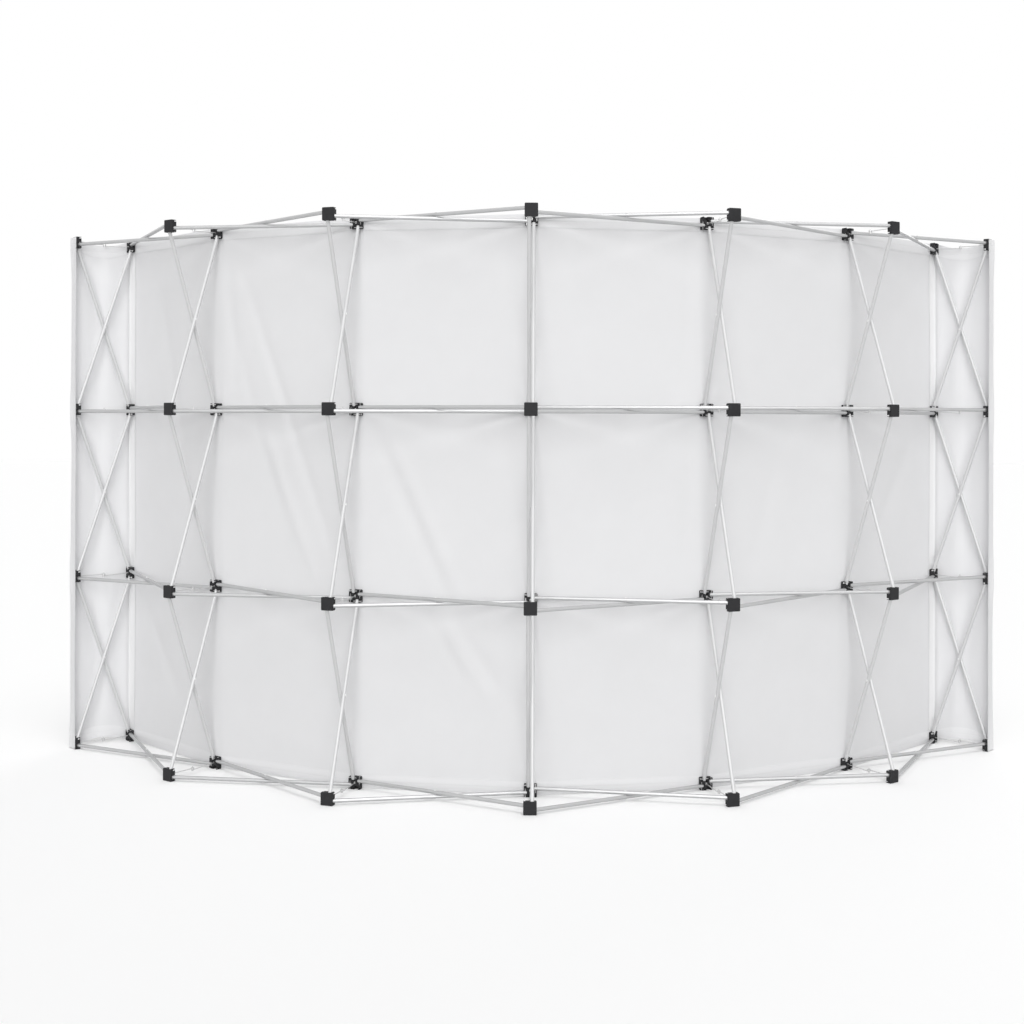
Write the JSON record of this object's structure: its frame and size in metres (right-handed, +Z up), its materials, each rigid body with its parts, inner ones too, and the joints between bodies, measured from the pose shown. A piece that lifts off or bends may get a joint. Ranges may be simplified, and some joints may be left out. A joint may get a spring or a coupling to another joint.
{
  "type": "pop up display backwall",
  "caption": "Curved pop-up display wall: a folding scissor frame of tubes and corner hubs, held open by hook and peg arms, with a stretched fabric cover over its front and ends.",
  "frame": {"origin": "on the floor, under the middle of the plate of the centre rear hub of the bottom row", "axes": "+X along the wall, to the right as seen from its open back; +Y from the open back towards the fabric front; +Z up"},
  "size_m": [4.0724, 1.1897, 2.2551],
  "materials": {
    "hub_plastic": "moulded, satin",
    "tube_aluminium": "bright anodised",
    "pin_steel": "bright zinc",
    "wire_steel": "zinc-plated wire",
    "pad_velour": "hook-and-loop pad",
    "cover_fabric": "plain stretch polyester"
  },
  "bodies": {
    "frame": {"rear_hubs_level_0": "hub_plastic", "rear_hubs_level_1": "hub_plastic", "rear_hubs_level_2": "hub_plastic", "rear_hubs_level_3": "hub_plastic", "front_hubs_level_0": "hub_plastic", "front_hubs_level_1": "hub_plastic", "front_hubs_level_2": "hub_plastic", "front_hubs_level_3": "hub_plastic", "bay_tubes_0": "tube_aluminium", "bay_tubes_1": "tube_aluminium", "bay_tubes_2": "tube_aluminium", "bay_tubes_3": "tube_aluminium", "bay_tubes_4": "tube_aluminium", "bay_tubes_5": "tube_aluminium", "column_tubes_0": "tube_aluminium", "column_tubes_1": "tube_aluminium", "column_tubes_2": "tube_aluminium", "column_tubes_3": "tube_aluminium", "column_tubes_4": "tube_aluminium", "column_tubes_5": "tube_aluminium", "column_tubes_6": "tube_aluminium", "tube_pins": "pin_steel", "cross_rivets": "pin_steel", "peg_arms": "wire_steel", "arm_hinge_pins": "pin_steel", "hook_loop_pads": "pad_velour", "fabric_panel": "cover_fabric", "end_flap_left": "cover_fabric", "end_flap_right": "cover_fabric"},
    "hook_0_0": {"hook_arm_0_0": "wire_steel"},
    "hook_0_1": {"hook_arm_0_1": "wire_steel"},
    "hook_0_2": {"hook_arm_0_2": "wire_steel"},
    "hook_0_3": {"hook_arm_0_3": "wire_steel"},
    "hook_1_0": {"hook_arm_1_0": "wire_steel"},
    "hook_1_1": {"hook_arm_1_1": "wire_steel"},
    "hook_1_2": {"hook_arm_1_2": "wire_steel"},
    "hook_1_3": {"hook_arm_1_3": "wire_steel"},
    "hook_2_0": {"hook_arm_2_0": "wire_steel"},
    "hook_2_1": {"hook_arm_2_1": "wire_steel"},
    "hook_2_2": {"hook_arm_2_2": "wire_steel"},
    "hook_2_3": {"hook_arm_2_3": "wire_steel"},
    "hook_3_0": {"hook_arm_3_0": "wire_steel"},
    "hook_3_1": {"hook_arm_3_1": "wire_steel"},
    "hook_3_2": {"hook_arm_3_2": "wire_steel"},
    "hook_3_3": {"hook_arm_3_3": "wire_steel"},
    "hook_4_0": {"hook_arm_4_0": "wire_steel"},
    "hook_4_1": {"hook_arm_4_1": "wire_steel"},
    "hook_4_2": {"hook_arm_4_2": "wire_steel"},
    "hook_4_3": {"hook_arm_4_3": "wire_steel"},
    "hook_5_0": {"hook_arm_5_0": "wire_steel"},
    "hook_5_1": {"hook_arm_5_1": "wire_steel"},
    "hook_5_2": {"hook_arm_5_2": "wire_steel"},
    "hook_5_3": {"hook_arm_5_3": "wire_steel"},
    "hook_6_0": {"hook_arm_6_0": "wire_steel"},
    "hook_6_1": {"hook_arm_6_1": "wire_steel"},
    "hook_6_2": {"hook_arm_6_2": "wire_steel"},
    "hook_6_3": {"hook_arm_6_3": "wire_steel"}
  },
  "joints": [
    {"name": "hook_lift_0_0", "type": "hinge", "parent": "frame", "child": "hook_0_0", "pos_m": [-2.00667, 1.01318, 0.025], "axis": [0.6004, -0.7997, 0], "range_deg": [0, 50]},
    {"name": "hook_lift_0_1", "type": "hinge", "parent": "frame", "child": "hook_0_1", "pos_m": [-2.00667, 1.01318, 0.76002], "axis": [0.6004, -0.7997, 0], "range_deg": [0, 50]},
    {"name": "hook_lift_0_2", "type": "hinge", "parent": "frame", "child": "hook_0_2", "pos_m": [-2.00667, 1.01318, 1.49505], "axis": [0.6004, -0.7997, 0], "range_deg": [0, 50]},
    {"name": "hook_lift_0_3", "type": "hinge", "parent": "frame", "child": "hook_0_3", "pos_m": [-2.00667, 1.01318, 2.23008], "axis": [0.6004, -0.7997, 0], "range_deg": [0, 50]},
    {"name": "hook_lift_1_0", "type": "hinge", "parent": "frame", "child": "hook_1_0", "pos_m": [-1.45361, 0.47441, 0.025], "axis": [0.8151, -0.5793, 0], "range_deg": [0, 50]},
    {"name": "hook_lift_1_1", "type": "hinge", "parent": "frame", "child": "hook_1_1", "pos_m": [-1.45361, 0.47441, 0.76002], "axis": [0.8151, -0.5793, 0], "range_deg": [0, 50]},
    {"name": "hook_lift_1_2", "type": "hinge", "parent": "frame", "child": "hook_1_2", "pos_m": [-1.45361, 0.47441, 1.49505], "axis": [0.8151, -0.5793, 0], "range_deg": [0, 50]},
    {"name": "hook_lift_1_3", "type": "hinge", "parent": "frame", "child": "hook_1_3", "pos_m": [-1.45361, 0.47441, 2.23008], "axis": [0.8151, -0.5793, 0], "range_deg": [0, 50]},
    {"name": "hook_lift_2_0", "type": "hinge", "parent": "frame", "child": "hook_2_0", "pos_m": [-0.76292, 0.12929, 0.025], "axis": [0.9527, -0.304, 0], "range_deg": [0, 50]},
    {"name": "hook_lift_2_1", "type": "hinge", "parent": "frame", "child": "hook_2_1", "pos_m": [-0.76292, 0.12929, 0.76002], "axis": [0.9527, -0.304, 0], "range_deg": [0, 50]},
    {"name": "hook_lift_2_2", "type": "hinge", "parent": "frame", "child": "hook_2_2", "pos_m": [-0.76292, 0.12929, 1.49505], "axis": [0.9527, -0.304, 0], "range_deg": [0, 50]},
    {"name": "hook_lift_2_3", "type": "hinge", "parent": "frame", "child": "hook_2_3", "pos_m": [-0.76292, 0.12929, 2.23008], "axis": [0.9527, -0.304, 0], "range_deg": [0, 50]},
    {"name": "hook_lift_3_0", "type": "hinge", "parent": "frame", "child": "hook_3_0", "pos_m": [0, 0.01051, 0.025], "axis": [1, 0, 0], "range_deg": [0, 50]},
    {"name": "hook_lift_3_1", "type": "hinge", "parent": "frame", "child": "hook_3_1", "pos_m": [0, 0.01051, 0.76002], "axis": [1, 0, 0], "range_deg": [0, 50]},
    {"name": "hook_lift_3_2", "type": "hinge", "parent": "frame", "child": "hook_3_2", "pos_m": [0, 0.01051, 1.49505], "axis": [1, 0, 0], "range_deg": [0, 50]},
    {"name": "hook_lift_3_3", "type": "hinge", "parent": "frame", "child": "hook_3_3", "pos_m": [0, 0.01051, 2.23008], "axis": [1, 0, 0], "range_deg": [0, 50]},
    {"name": "hook_lift_4_0", "type": "hinge", "parent": "frame", "child": "hook_4_0", "pos_m": [0.76292, 0.12929, 0.025], "axis": [0.9527, 0.304, 0], "range_deg": [0, 50]},
    {"name": "hook_lift_4_1", "type": "hinge", "parent": "frame", "child": "hook_4_1", "pos_m": [0.76292, 0.12929, 0.76002], "axis": [0.9527, 0.304, 0], "range_deg": [0, 50]},
    {"name": "hook_lift_4_2", "type": "hinge", "parent": "frame", "child": "hook_4_2", "pos_m": [0.76292, 0.12929, 1.49505], "axis": [0.9527, 0.304, 0], "range_deg": [0, 50]},
    {"name": "hook_lift_4_3", "type": "hinge", "parent": "frame", "child": "hook_4_3", "pos_m": [0.76292, 0.12929, 2.23008], "axis": [0.9527, 0.304, 0], "range_deg": [0, 50]},
    {"name": "hook_lift_5_0", "type": "hinge", "parent": "frame", "child": "hook_5_0", "pos_m": [1.45361, 0.47441, 0.025], "axis": [0.8151, 0.5793, 0], "range_deg": [0, 50]},
    {"name": "hook_lift_5_1", "type": "hinge", "parent": "frame", "child": "hook_5_1", "pos_m": [1.45361, 0.47441, 0.76002], "axis": [0.8151, 0.5793, 0], "range_deg": [0, 50]},
    {"name": "hook_lift_5_2", "type": "hinge", "parent": "frame", "child": "hook_5_2", "pos_m": [1.45361, 0.47441, 1.49505], "axis": [0.8151, 0.5793, 0], "range_deg": [0, 50]},
    {"name": "hook_lift_5_3", "type": "hinge", "parent": "frame", "child": "hook_5_3", "pos_m": [1.45361, 0.47441, 2.23008], "axis": [0.8151, 0.5793, 0], "range_deg": [0, 50]},
    {"name": "hook_lift_6_0", "type": "hinge", "parent": "frame", "child": "hook_6_0", "pos_m": [2.00667, 1.01318, 0.025], "axis": [0.6004, 0.7997, 0], "range_deg": [0, 50]},
    {"name": "hook_lift_6_1", "type": "hinge", "parent": "frame", "child": "hook_6_1", "pos_m": [2.00667, 1.01318, 0.76002], "axis": [0.6004, 0.7997, 0], "range_deg": [0, 50]},
    {"name": "hook_lift_6_2", "type": "hinge", "parent": "frame", "child": "hook_6_2", "pos_m": [2.00667, 1.01318, 1.49505], "axis": [0.6004, 0.7997, 0], "range_deg": [0, 50]},
    {"name": "hook_lift_6_3", "type": "hinge", "parent": "frame", "child": "hook_6_3", "pos_m": [2.00667, 1.01318, 2.23008], "axis": [0.6004, 0.7997, 0], "range_deg": [0, 50]}
  ]
}
